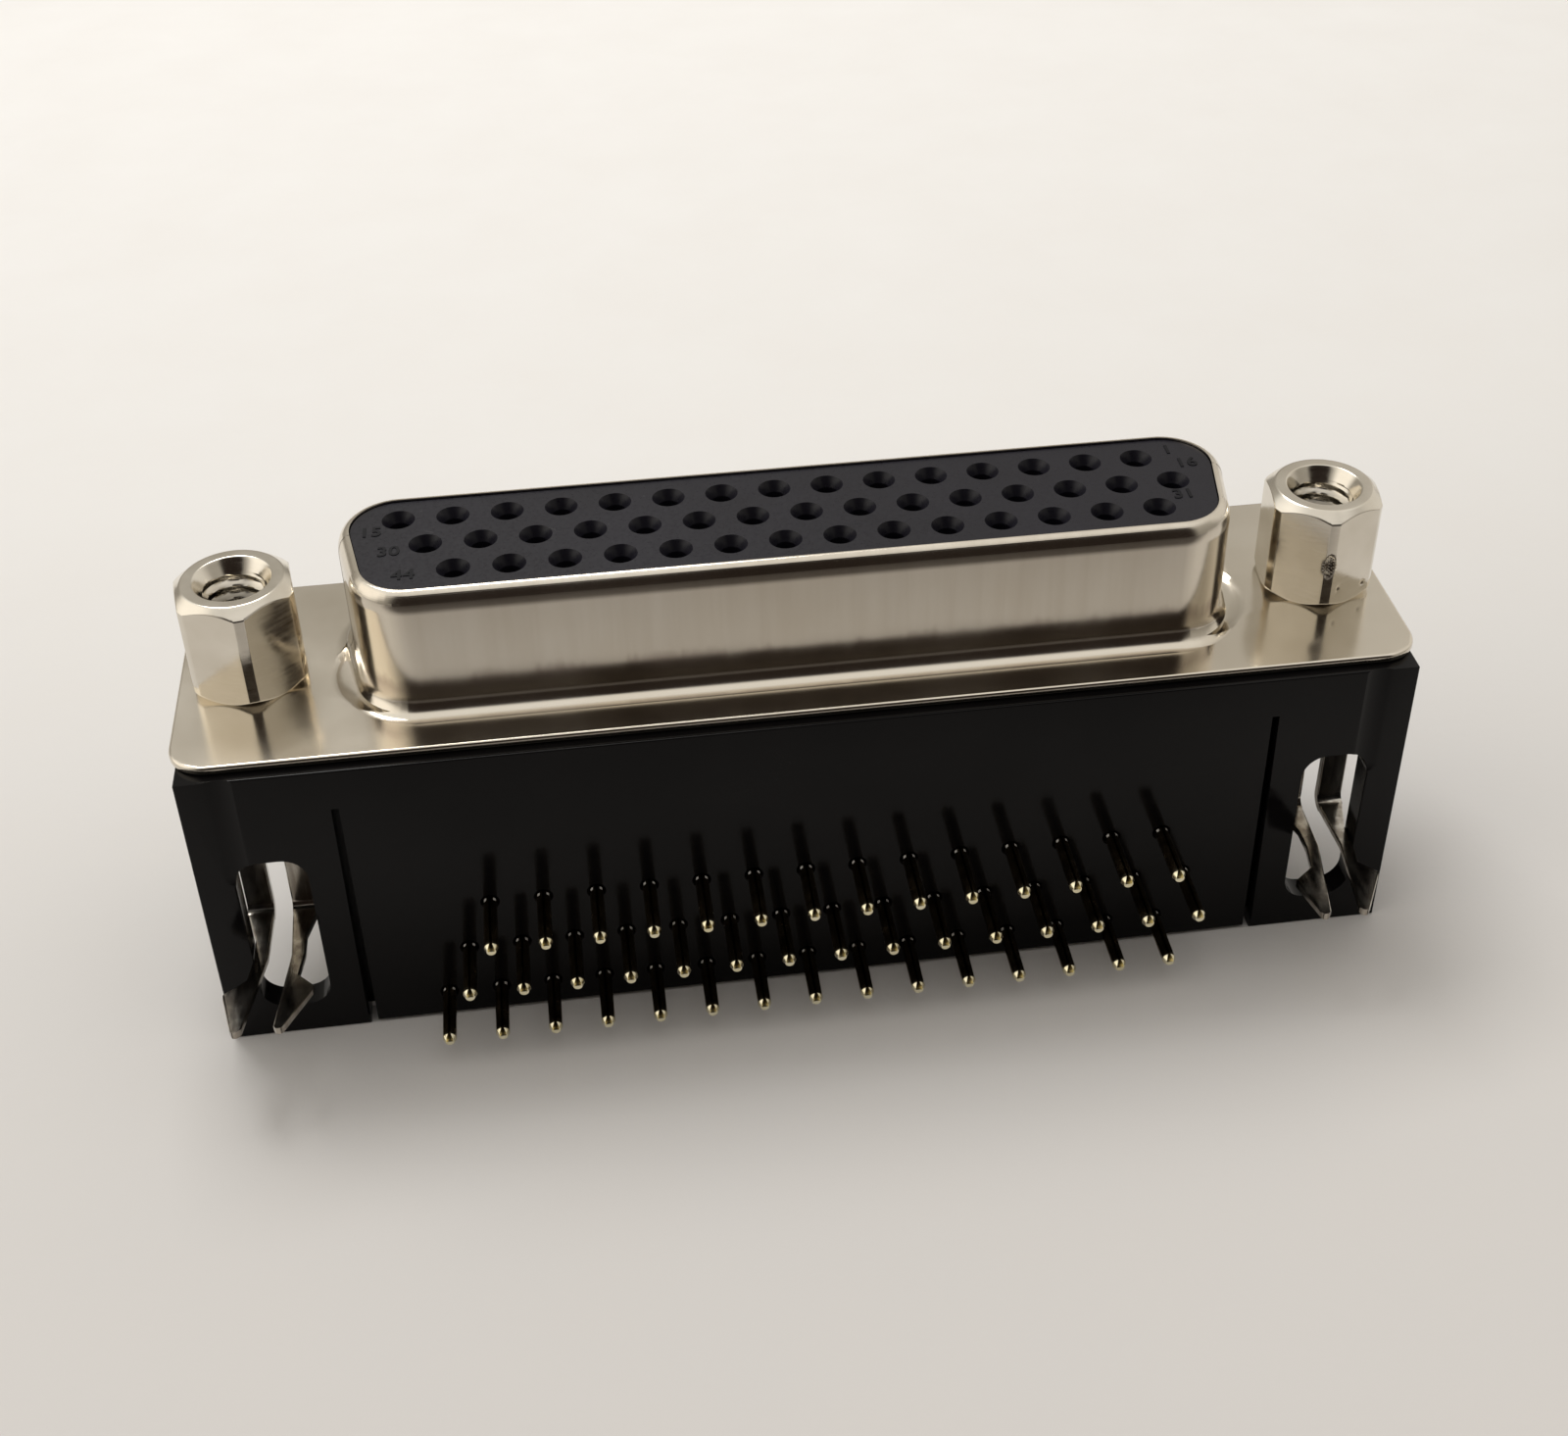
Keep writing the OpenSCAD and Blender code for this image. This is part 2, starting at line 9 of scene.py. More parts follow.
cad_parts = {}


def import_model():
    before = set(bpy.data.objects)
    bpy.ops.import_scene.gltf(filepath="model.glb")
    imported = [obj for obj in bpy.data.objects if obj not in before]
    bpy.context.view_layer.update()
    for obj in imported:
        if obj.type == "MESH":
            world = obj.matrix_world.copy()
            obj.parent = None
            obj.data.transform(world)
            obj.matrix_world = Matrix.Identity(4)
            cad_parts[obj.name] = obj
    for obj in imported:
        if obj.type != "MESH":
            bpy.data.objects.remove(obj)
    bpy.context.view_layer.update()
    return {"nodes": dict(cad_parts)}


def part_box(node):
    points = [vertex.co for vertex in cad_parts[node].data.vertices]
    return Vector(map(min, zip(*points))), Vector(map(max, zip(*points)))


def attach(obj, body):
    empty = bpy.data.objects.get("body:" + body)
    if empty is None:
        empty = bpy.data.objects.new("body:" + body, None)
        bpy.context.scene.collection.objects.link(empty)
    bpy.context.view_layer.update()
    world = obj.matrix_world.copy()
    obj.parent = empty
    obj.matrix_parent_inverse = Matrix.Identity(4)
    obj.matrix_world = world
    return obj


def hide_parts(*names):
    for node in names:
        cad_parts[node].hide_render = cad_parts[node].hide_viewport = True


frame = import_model()
nodes = frame["nodes"]
root = bpy.context.scene.collection
MM = 0.001

# ---- places, read from the frame ----

shell_low, shell_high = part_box("front_shell")
lock_low, lock_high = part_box("screwlock_right")

SHELL_RISE = 5.9 * MM
FLANGE_Z = shell_high.z - SHELL_RISE      # front of the flange
LOCK_TOP = lock_high.z - FLANGE_Z         # height of the screwlocks above it
RIM_Z = shell_high.z                      # top of the D
FACE_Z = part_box("front_insulator")[1].z   # face of the insulator
SCREW_X = (lock_low.x + lock_high.x) / 2
BOARD_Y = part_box("housing")[0].y          # the face that meets the circuit board
PLATE_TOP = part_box("tail_plate")[1].z     # where the tail plate meets the bar
TAIL_TIP_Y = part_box("contact_01")[0].y
PITCH = 2.29 * MM                         # contacts along a row


# ---- node helpers ----

class Shader:
    """A material under construction: short calls that add nodes and link them."""

    def __init__(self, name):
        self.material = bpy.data.materials.new(name)
        self.material.use_nodes = True
        self.tree = self.material.node_tree
        self.tree.nodes.clear()
        self.output = self.add("ShaderNodeOutputMaterial")
        self.surface = self.add("ShaderNodeBsdfPrincipled")
        self.link(self.surface.outputs["BSDF"], self.output.inputs["Surface"])
        self.place = self.add("ShaderNodeTexCoord").outputs["Object"]

    def add(self, kind, **values):
        node = self.tree.nodes.new(kind)
        for key, value in values.items():
            setattr(node, key, value)
        return node

    def link(self, a, b):
        self.tree.links.new(a, b)

    def feed(self, socket, value):
        if isinstance(value, bpy.types.NodeSocket):
            self.link(value, socket)
        else:
            socket.default_value = value

    def scaled(self, stretch):
        """Object coordinates, stretched per axis."""
        node = self.add("ShaderNodeMapping")
        node.inputs["Scale"].default_value = stretch
        self.link(self.place, node.inputs["Vector"])
        return node.outputs["Vector"]

    def noise(self, size, detail=3.0, rough=0.5, stretch=(1, 1, 1)):
        """Soft noise with features of that size in metres."""
        node = self.add("ShaderNodeTexNoise")
        node.inputs["Scale"].default_value = 1 / size
        node.inputs["Detail"].default_value = detail
        node.inputs["Roughness"].default_value = rough
        self.link(self.scaled(stretch), node.inputs["Vector"])
        return node.outputs["Fac"]

    def ramp(self, value, *stops):
        """Colour ramp through (position, colour) stops."""
        node = self.add("ShaderNodeValToRGB")
        ramp = node.color_ramp
        while len(ramp.elements) < len(stops):
            ramp.elements.new(0.5)
        for element, (position, colour) in zip(ramp.elements, stops):
            element.position = position
            element.color = (*colour, 1)
        self.feed(node.inputs["Fac"], value)
        return node.outputs["Color"]

    def spread(self, value, low, high, to_low=0.0, to_high=1.0):
        """Maps a value from one range onto another, clamped."""
        node = self.add("ShaderNodeMapRange")
        for name, number in zip(("From Min", "From Max", "To Min", "To Max"), (low, high, to_low, to_high)):
            node.inputs[name].default_value = number
        self.feed(node.inputs["Value"], value)
        return node.outputs["Result"]

    def math(self, operation, a, b=0.0):
        node = self.add("ShaderNodeMath", operation=operation)
        self.feed(node.inputs[0], a)
        self.feed(node.inputs[1], b)
        return node.outputs["Value"]

    def close(self, value, target, within):
        """1 where a value lies within that distance of the target, else 0."""
        node = self.add("ShaderNodeMath", operation="COMPARE")
        self.feed(node.inputs[0], value)
        node.inputs[1].default_value = target
        node.inputs[2].default_value = within
        return node.outputs["Value"]

    def mix(self, share, a, b):
        """Colour a, going over into colour b as the share rises."""
        node = self.add("ShaderNodeMix", data_type="RGBA")
        self.feed(node.inputs["Factor"], share)
        self.feed(node.inputs["A"], a if isinstance(a, bpy.types.NodeSocket) else (*a, 1))
        self.feed(node.inputs["B"], b if isinstance(b, bpy.types.NodeSocket) else (*b, 1))
        return node.outputs["Result"]

    def spot(self, centre, radius, soft=0.5):
        """1 inside a ball round that place, falling to 0 at its edge."""
        away = self.add("ShaderNodeVectorMath", operation="DISTANCE")
        self.link(self.place, away.inputs[0])
        away.inputs[1].default_value = centre
        return self.spread(away.outputs["Value"], radius * (1 - soft), radius, 1.0, 0.0)

    def axis(self, name):
        """One object coordinate, in metres."""
        node = self.add("ShaderNodeSeparateXYZ")
        self.link(self.place, node.inputs["Vector"])
        return node.outputs[name]

    def bump(self, height, depth, strength=1.0):
        """Bump of that depth in metres."""
        node = self.add("ShaderNodeBump")
        node.inputs["Strength"].default_value = strength
        node.inputs["Distance"].default_value = depth
        self.link(height, node.inputs["Height"])
        self.link(node.outputs["Normal"], self.surface.inputs["Normal"])

    def set(self, **values):
        names = {"colour": "Base Color", "metal": "Metallic", "rough": "Roughness", "ior": "IOR",
                 "specular": "Specular IOR Level"}
        for key, value in values.items():
            self.feed(self.surface.inputs[names[key]], value)


# ---- materials ----

def nickel_sheet():
    """Nickel over drawn steel: warm, with faint draw lines up the walls and painted shade at their foot."""
    s = Shader("nickel_sheet")
    patches = s.noise(7 * MM, 4, 0.55)
    warm = s.ramp(patches, (0.3, (0.685, 0.625, 0.525)), (0.55, (0.735, 0.68, 0.585)),
                  (0.75, (0.775, 0.725, 0.635)))
    streaks = s.noise(0.8 * MM, 4, 0.6, stretch=(1, 1, 0.05))
    wall = s.spread(s.axis("Z"), FLANGE_Z + 0.5 * MM, FLANGE_Z + 1.5 * MM)
    worn = s.math("MULTIPLY", s.spread(streaks, 0.4, 0.75, 0.0, 0.28), wall)
    tone = s.mix(worn, warm, (0.50, 0.44, 0.35))
    # painted shade: a dark brown band at the foot of the wall, in the crease by the flange, with a ragged
    # upper edge
    ragged = s.noise(0.9 * MM, 5, 0.65, stretch=(1, 1, 0.15))
    level = s.math("ADD", s.axis("Z"), s.spread(ragged, 0.25, 0.75, 0.5 * MM, -0.5 * MM))
    foot_shade = s.math("MULTIPLY", s.spread(level, FLANGE_Z + 1.9 * MM, FLANGE_Z + 1.3 * MM), wall)
    tone = s.mix(s.math("MULTIPLY", foot_shade, 0.55), tone, (0.26, 0.19, 0.16))
    fine = s.noise(0.11 * MM, 2, 0.5)
    s.set(colour=tone, metal=1.0, rough=s.spread(patches, 0.3, 0.7, 0.13, 0.22))
    s.bump(fine, 0.0004 * MM, 0.5)
    return s.material


def nickel_turned(name="nickel_turned", wounds=()):
    """Bright nickel on a turned part, with fine tool marks round it, dark wounds and painted shade deep in
    the bore.
    """
    s = Shader(name)
    patches = s.noise(2.2 * MM, 3, 0.5)
    tone = s.ramp(patches, (0.3, (0.66, 0.61, 0.52)), (0.7, (0.76, 0.715, 0.63)))
    for place, radius in wounds:
        speckle = s.spread(s.noise(0.12 * MM, 2, 0.6), 0.35, 0.6, 0.5, 1.0)
        tone = s.mix(s.math("MULTIPLY", s.spot(place, radius), speckle), tone, (0.09, 0.065, 0.045))
    # painted shade deep in the bore
    for place, radius in BORE_SHADE:
        tone = s.mix(s.math("MULTIPLY", s.spot(place, radius, 0.25), 0.72), tone, (0.10, 0.085, 0.065))
    lines = s.noise(0.13 * MM, 2, 0.5, stretch=(0.12, 0.12, 1))
    s.set(colour=tone, metal=1.0, rough=s.spread(lines, 0.3, 0.7, 0.12, 0.2))
    s.bump(lines, 0.0022 * MM, 0.5)
    return s.material


def tin_strip():
    """Tin plate on punched strip: a streaked painted dark reflection along the strap, and painted highlights
    that make the tips bright.
    """
    s = Shader("tin_strip")
    patches = s.noise(1.1 * MM, 4, 0.6)
    tone = s.ramp(patches, (0.3, (0.46, 0.43, 0.37)), (0.6, (0.70, 0.68, 0.62)), (0.8, (0.80, 0.785, 0.74)))
    # painted dark reflection: the strap darker and streaked above the tips
    streaks = s.spread(s.noise(0.45 * MM, 3, 0.6, stretch=(1, 1, 0.12)), 0.35, 0.6, 0.3, 0.9)
    dark_reflection = s.math("MULTIPLY", s.spread(s.axis("Z"), 1.9 * MM, 3.4 * MM), streaks)
    # painted highlight: the tips paler
    tone = s.mix(s.spread(s.axis("Z"), 2.4 * MM, 1.2 * MM, 0.0, 0.7), tone, (0.93, 0.92, 0.88))
    tone = s.mix(dark_reflection, tone, (0.27, 0.235, 0.195))
    rub = s.noise(0.3 * MM, 3, 0.55, stretch=(1, 0.2, 0.2))
    # less metallic towards the tips, so that their painted highlight shows in diffuse light
    metal = s.spread(s.axis("Z"), 1.4 * MM, 2.6 * MM, 0.55, 1.0)
    s.set(colour=tone, metal=metal, rough=s.spread(rub, 0.3, 0.7, 0.12, 0.22))
    s.bump(rub, 0.004 * MM, 0.5)
    return s.material


def gloss_plastic():
    """Glossy black moulding with a faint haze, fine scratches and a little waviness."""
    s = Shader("gloss_plastic")
    haze = s.noise(6 * MM, 4, 0.6)
    tone = s.ramp(haze, (0.3, (0.0026, 0.0024, 0.0026)), (0.7, (0.0050, 0.0046, 0.0048)))
    scuff = s.noise(0.5 * MM, 5, 0.65, stretch=(0.3, 1, 1))
    s.set(colour=tone, rough=s.spread(scuff, 0.35, 0.8, 0.09, 0.2), ior=1.5, specular=0.13)
    s.bump(s.noise(3.5 * MM, 2, 0.4), 0.008 * MM, 0.3)
    return s.material


def satin_plastic():
    """Satin black moulding with a fine grain and a bluish cast."""
    s = Shader("satin_plastic")
    cast = s.noise(5 * MM, 3, 0.5)
    tone = s.ramp(cast, (0.3, (0.0085, 0.0078, 0.0120)), (0.7, (0.0115, 0.0108, 0.0165)))
    grain = s.noise(0.14 * MM, 3, 0.55)
    s.set(colour=tone, rough=s.spread(grain, 0.3, 0.7, 0.26, 0.38), ior=1.5, specular=0.29)
    s.bump(grain, 0.004 * MM, 0.5)
    return s.material


def gold_tail():
    """Gold flash, brownish along the shaft and bright at the tip, with draw lines along it."""
    s = Shader("gold_tail")
    along = s.spread(s.axis("Y"), TAIL_TIP_Y, TAIL_TIP_Y + 0.7 * MM)
    patches = s.noise(0.8 * MM, 4, 0.6)
    shaft = s.ramp(patches, (0.3, (0.11, 0.075, 0.045)), (0.7, (0.25, 0.185, 0.11)))
    tip = s.ramp(patches, (0.3, (0.84, 0.76, 0.50)), (0.7, (0.93, 0.88, 0.68)))
    # painted glints: two small pale spots on each tail, where it leaves the tail plate, made non-metallic so
    # that they light up in diffuse light
    wide = s.math("PINGPONG", s.math("SUBTRACT", s.axis("X"), PITCH / 4), PITCH / 4)
    beside_plate = s.close(s.axis("Y"), BOARD_Y - 0.09 * MM, 0.07 * MM)
    painted_glint = s.math("MULTIPLY", s.close(wide, 0.20 * MM, 0.05 * MM), beside_plate)
    colour = s.mix(painted_glint, s.mix(s.spread(along, 0.15, 0.6), tip, shaft), (0.62, 0.60, 0.56))
    s.set(colour=colour, metal=s.math("SUBTRACT", 1.0, painted_glint), rough=s.spread(patches, 0.3, 0.7, 0.16, 0.28))
    s.bump(s.noise(0.2 * MM, 2, 0.5, stretch=(1, 0.1, 0.1)), 0.002 * MM, 0.5)
    return s.material


def digit_plastic():
    """The raised numbers: the insulator's own plastic, worn a little duller."""
    s = Shader("digit_plastic")
    grain = s.noise(0.1 * MM, 2, 0.5)
    tone = s.ramp(grain, (0.3, (0.0035, 0.0034, 0.005)), (0.7, (0.007, 0.007, 0.009)))
    s.set(colour=tone, rough=s.spread(grain, 0.3, 0.7, 0.4, 0.6), ior=1.5, specular=0.15)
    return s.material


def scuffed_plastic():
    """Stress marks, a little paler than the face, where it was scratched."""
    s = Shader("scuffed_plastic")
    grain = s.noise(0.06 * MM, 2, 0.5)
    tone = s.ramp(grain, (0.3, (0.030, 0.029, 0.034)), (0.7, (0.075, 0.073, 0.080)))
    s.set(colour=tone, rough=s.spread(grain, 0.3, 0.7, 0.4, 0.6))
    return s.material


# the gouge and the two nicks on the right screwlock, each as (x, y, height above the flange)
KNOCK = (SCREW_X - 0.30 * MM, -2.61 * MM, 2.3 * MM)
KNOCK_R = 0.29 * MM
KNOCK_DEPTH = 0.13 * MM
KNOCK_GRIME_R = 0.34 * MM
NICKS = ((SCREW_X + 0.32 * MM, -2.457 * MM, 0.95 * MM), (SCREW_X + 1.66 * MM, -1.86 * MM, 0.72 * MM))
NICK_R = 0.12 * MM
NICK_DEPTH = 0.05 * MM
# painted shade deep in each screwlock's bore: a ball round the bore's middle, darkening what lies inside it
BORE_SHADE = [((side * SCREW_X, 0, FLANGE_Z + 2.2 * MM), 2.15 * MM) for side in (-1, 1)]


def in_part(place):
    """A place given by its height above the flange, in the part's frame."""
    return (place[0], place[1], FLANGE_Z + place[2])


WOUNDS = [(in_part(KNOCK), KNOCK_GRIME_R)] + [(in_part(nick), NICK_R) for nick in NICKS]
NICKEL = nickel_sheet()
TURNED = nickel_turned()
KNOCKED = nickel_turned("nickel_knocked", WOUNDS)
TIN = tin_strip()
GLOSS = gloss_plastic()
SATIN = satin_plastic()
GOLD = gold_tail()
DIGIT = digit_plastic()
SCUFF = scuffed_plastic()


def finish_of(name):
    """The material of a CAD node."""
    if name == "front_shell":
        return NICKEL
    if name in ("front_insulator", "rear_insulator"):
        return SATIN
    if name in ("housing", "tail_plate"):
        return GLOSS
    if name.startswith("board_lock"):
        return TIN
    if name.startswith("contact"):
        return GOLD
    return TURNED


for name, node in nodes.items():
    node.data.materials.clear()
    node.data.materials.append(finish_of(name))


# ---- pieces made from the solids, with their edges eased ----

def add_piece(name, mesh, material, stands_for=None):
    """Puts a finished mesh into the scene as a piece on the one body."""
    mesh.materials.clear()
    mesh.materials.append(material)
    obj = bpy.data.objects.new(name, mesh)
    root.objects.link(obj)
    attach(obj, "root")
    if stands_for:
        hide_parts(stands_for)
    return obj


SLIVER = 0.002 * MM                       # a face this much narrower than it is long has no sure normal
WELD = 0.0005 * MM                        # points this close are one
COPLANAR = math.radians(0.4)              # faces that turn by less than this are joined
SHARP = math.radians(40)                  # edges that may be rounded turn by more than this


def face_normals(mesh, around, areas):
    """Each face's normal; a sliver takes that of the largest face that shares two of its corners."""
    normals = [face.normal.copy() for face in mesh.polygons]
    sure = list(normals)
    for face in mesh.polygons:
        span = max((mesh.vertices[a].co - mesh.vertices[b].co).length for a, b in face.edge_keys)
        if face.area < SLIVER * span:
            shared = [other for index in face.vertices for other in around[index] if other != face.index]
            beside = [other for other in set(shared) if shared.count(other) > 1]
            if beside:
                sure[face.index] = normals[max(beside, key=areas.__getitem__)]
    return normals, sure


def crisp(obj, angle=32):
    """Smooth shading with clean flats: a corner averages, by area, the faces within that angle of its own."""
    mesh = obj.data
    limit = math.cos(math.radians(angle))
    areas = [face.area for face in mesh.polygons]
    around = [[] for _ in mesh.vertices]
    for face in mesh.polygons:
        for index in face.vertices:
            around[index].append(face.index)
    normals, sure = face_normals(mesh, around, areas)
    corners = []
    for face in mesh.polygons:
        own = sure[face.index]
        for index in face.vertices:
            total = Vector()
            for other in around[index]:
                if normals[other].dot(own) > limit:
                    total += normals[other] * areas[other]
            corners.append(total.normalized() if total.length else own)
    mesh.polygons.foreach_set("use_smooth", [True] * len(mesh.polygons))
    mesh.normals_split_custom_set(corners)


def eased(name, radius=0, pick=None, segments=3, form=None, angle=32):
    """A copy of a CAD node that stands in for it, with the picked sharp edges rounded."""
    bm = bmesh.new()
    bm.from_mesh(nodes[name].data)
    bmesh.ops.remove_doubles(bm, verts=bm.verts, dist=WELD)
    if pick:
        bmesh.ops.dissolve_limit(bm, angle_limit=COPLANAR, verts=bm.verts, edges=bm.edges,
                                 delimit={"NORMAL"})
        chosen = [e for e in bm.edges if len(e.link_faces) == 2 and e.is_convex
                  and e.calc_face_angle(0) > SHARP and pick(e)]
        bmesh.ops.bevel(bm, geom=chosen, offset=radius, segments=segments, profile=0.5, affect="EDGES",
                        clamp_overlap=False)
    if form:
        form(bm)
    bmesh.ops.triangulate(bm, faces=[f for f in bm.faces if len(f.verts) > 4])
    mesh = bpy.data.meshes.new(name + "_eased")
    bm.to_mesh(mesh)
    bm.free()
    crisp(add_piece(name + "_eased", mesh, finish_of(name), name), angle)


def middle(edge):
    return (edge.verts[0].co + edge.verts[1].co) / 2


def near(a, b, slack=0.02 * MM):
    return abs(a - b) < slack


FLANGE_CORNER_R = 1.7 * MM                # at least the radius of the flange's corners
FLANGE_BAND = 0.75 * MM                   # wider than the way from the outline to the corner arcs


def on_flange_outline(edge):
    """The outer edge of the flange, front and back."""
    at = middle(edge)
    outer = abs(at.x) > shell_high.x - FLANGE_CORNER_R or near(abs(at.y), shell_high.y)
    inside = max(abs(at.x) - shell_high.x, abs(at.y) - shell_high.y) < -FLANGE_BAND
    return outer and not inside and (near(at.z, FLANGE_Z) or near(at.z, shell_low.z)) \
        and all(near(v.co.z, at.z) for v in edge.verts)


def long_edge(least):
    """Long edges, but not the flush joint between the bar and the tail plate."""
    def pick(edge):
        at = middle(edge)
        joint = near(at.z, PLATE_TOP) and near(at.y, BOARD_Y)
        return edge.calc_length() > least and not joint
    return pick


# centres of the four corner arcs of the D, in millimetres; it is wider towards +Y
D_CORNERS = [Vector(c) * MM for c in ((16.59, 1.35), (-16.59, 1.35), (-16.114, -1.35), (16.114, -1.35))]
D_CORNER_R = 2.6 * MM
RIM_R = 0.55 * MM
RIM_FALL = 0.95 * MM                      # height over which the drawn wall leans into the rim
# depths below the rim, in millimetres, at which the wall is cut into rows so that it can bend
RIM_LEVELS = (0.95, 0.85, 0.76, 0.68, 0.61, 0.55, 0.48, 0.40, 0.33, 0.26, 0.19, 0.13, 0.08, 0.04)
WALL_SLACK = 0.03 * MM                    # how far from the drawn surface a point still counts as on it


def beyond_outline(point):
    """How far a point lies outside the outline of the D, and the way out."""
    best = None
    for a, b in zip(D_CORNERS, D_CORNERS[1:] + D_CORNERS[:1]):
        share = max(0.0, min(1.0, (point - a).dot(b - a) / (b - a).length_squared))
        away = point - (a + (b - a) * share)
        if best is None or away.length < best.length:
            best = away
    return best.length - D_CORNER_R, best.normalized()


def soft_rim(bm):
    """Lets the outer wall lean in gently below the rim, as drawing leaves it."""
    for drop in RIM_LEVELS:
        bmesh.ops.bisect_plane(bm, geom=bm.verts[:] + bm.edges[:] + bm.faces[:], dist=0.0001 * MM,
                               plane_co=(0, 0, RIM_Z - drop * MM), plane_no=(0, 0, 1))
    for vert in bm.verts:
        drop = RIM_Z - vert.co.z
        if not 0.01 * MM < drop < RIM_FALL:
            continue
        out, way = beyond_outline(vert.co.xy)
        inset = RIM_R - math.sqrt(RIM_R ** 2 - max(0.0, RIM_R - drop) ** 2)
        if abs(out + inset) > WALL_SLACK:
            continue
        soft = RIM_R * (1 - math.sqrt(1 - (1 - drop / RIM_FALL) ** 2))
        shift = way * max(0.0, soft - inset)
        vert.co.x -= shift.x
        vert.co.y -= shift.y


eased("front_shell", 0.13 * MM, on_flange_outline, form=soft_rim)
eased("housing", 0.09 * MM, long_edge(4 * MM), 2)
eased("tail_plate", angle=20)
for side in ("left", "right"):
    eased("board_lock_" + side, 0.07 * MM, long_edge(0.3 * MM), 3)
eased("front_insulator", angle=20)


# ---- screwlocks, turned from hexagon bar ----

THREAD_PITCH = 0.635 * MM                 # 4-40
THREAD_MAJOR = 1.42 * MM
THREAD_MINOR = 1.19 * MM
HEX_R = 2.375 * MM                        # half the width across the flats
TURNED_R = 2.63 * MM
CROWN_R = 2.12 * MM                       # where the crown's cone meets the top
CROWN_SLOPE = math.tan(math.radians(40))
SINK_R = 1.62 * MM
SINK_DEPTH = 0.55 * MM
MOUTH_R = 1.28 * MM
SINK_EDGE = 0.03 * MM                     # depth at which the crown's round meets the countersink
BASE_R = 2.33 * MM                        # at the foot, which widens at 45 degrees
BORE_FLOOR = 0.7 * MM
BORE_RUNOUT = 0.5 * MM                    # from the end of the bore's thread to its floor
BORE_ROWS = 60
DRILL_R = 0.5 * MM                        # the drill's point, where it meets the floor
DRILL_RISE = 0.18 * MM
STUD_TIP_R = 1.15 * MM
STUD_CHAMFER = 0.12 * MM
STUD_THREAD = 1.6 * MM                    # length of the stud's thread
STUD_GROOVE = 0.22 * MM                   # depth of that thread
STUD_ROWS = 24
STUD_NECK = -0.42 * MM                    # plain from here up to the flange
MARKED_R = 2 * MM                         # only the outside of the hexagon takes knocks
MARKED_LOW = 0.5 * MM
MARKED_HIGH = 4 * MM

# heights in millimetres of the rings up the outside, close together at the foot and at the crown
OUTER_STEPS = [0, 0.03, 0.06, 0.09, 0.12, 0.15, 0.18, 0.21, 0.24, 0.27, 0.30, 0.34, 0.40, 0.5]
OUTER_STEPS += [0.60 + 0.055 * i for i in range(46)]
OUTER_STEPS += [3.4, 3.8, 4.15] + [4.3 + 0.025 * i for i in range(24)]
# radius and depth below the top, in millimetres, of the rings over the crown into the countersink
CROWN_RINGS = ((2.105, 0.006), (2.07, 0.0), (1.69, 0.0), (1.65, 0.008), (1.62, 0.03))
SINK_SHARES = (0.15, 0.35, 0.55, 0.75, 0.92)


def flat_angles():
    """Angles round one of the six sides, in degrees from the middle of the flat, close at its ends."""
    flat = [-22.5 + 45 * i / 26 for i in range(27)]
    corner = [25.15, 25.45, 25.9, 26.7, 27.6, 28.5, 29.3]
    return [-a for a in reversed(corner)] + [-24.6] + flat + [24.6] + corner + [30.0]


def soft_least(a, b, ease):
    """The smaller of two, with the step between them rounded."""
    blend = max(0.0, min(1.0, 0.5 + 0.5 * (b - a) / ease))
    return b + (a - b) * blend - ease * blend * (1 - blend)


def outer_radius(height, angle, turn):
    """Radius of the outside at a height above the flange."""
    phi = (angle + 30 - turn) % 60 - 30
    bar = HEX_R / math.cos(math.radians(phi))
    cone = CROWN_R + max(0.0, LOCK_TOP - height) / CROWN_SLOPE
    r = soft_least(soft_least(bar, TURNED_R, 0.02 * MM), cone, 0.03 * MM)
    return soft_least(r, BASE_R + height, 0.04 * MM)


def stud_radius(height, angle):
    """Radius of the threaded stud below the flange."""
    phase = (height / THREAD_PITCH - angle / 360) % 1
    return THREAD_MAJOR - STUD_GROOVE * max(0.0, min(1.0, 1.5 - 3 * abs(phase - 0.5)))


def thread_radius(height, angle, top):
    """Radius of the threaded bore, with its ridge winding round and fading out at the top."""
    phase = (height / THREAD_PITCH - angle / 360) % 1
    tooth = max(0.0, min(1.0, (0.375 - abs(phase - 0.5)) / 0.3125))
    cut = THREAD_MAJOR - (THREAD_MAJOR - THREAD_MINOR) * tooth
    fade = max(0.0, min(1.0, (top - height) / (0.2 * THREAD_PITCH)))
    return MOUTH_R + (cut - MOUTH_R) * fade


def dent(point, place, radius, depth, seed):
    """How far a knock pushes a point towards the axis."""
    away = point - Vector(place)
    away.z *= 0.45
    away = away.length / radius
    if away >= 1:
        return 0.0
    rough = 0.65 + 0.35 * math.sin(seed + 41 * point.z / MM + 23 * point.x / MM)
    return depth * (1 - away ** 2) * rough


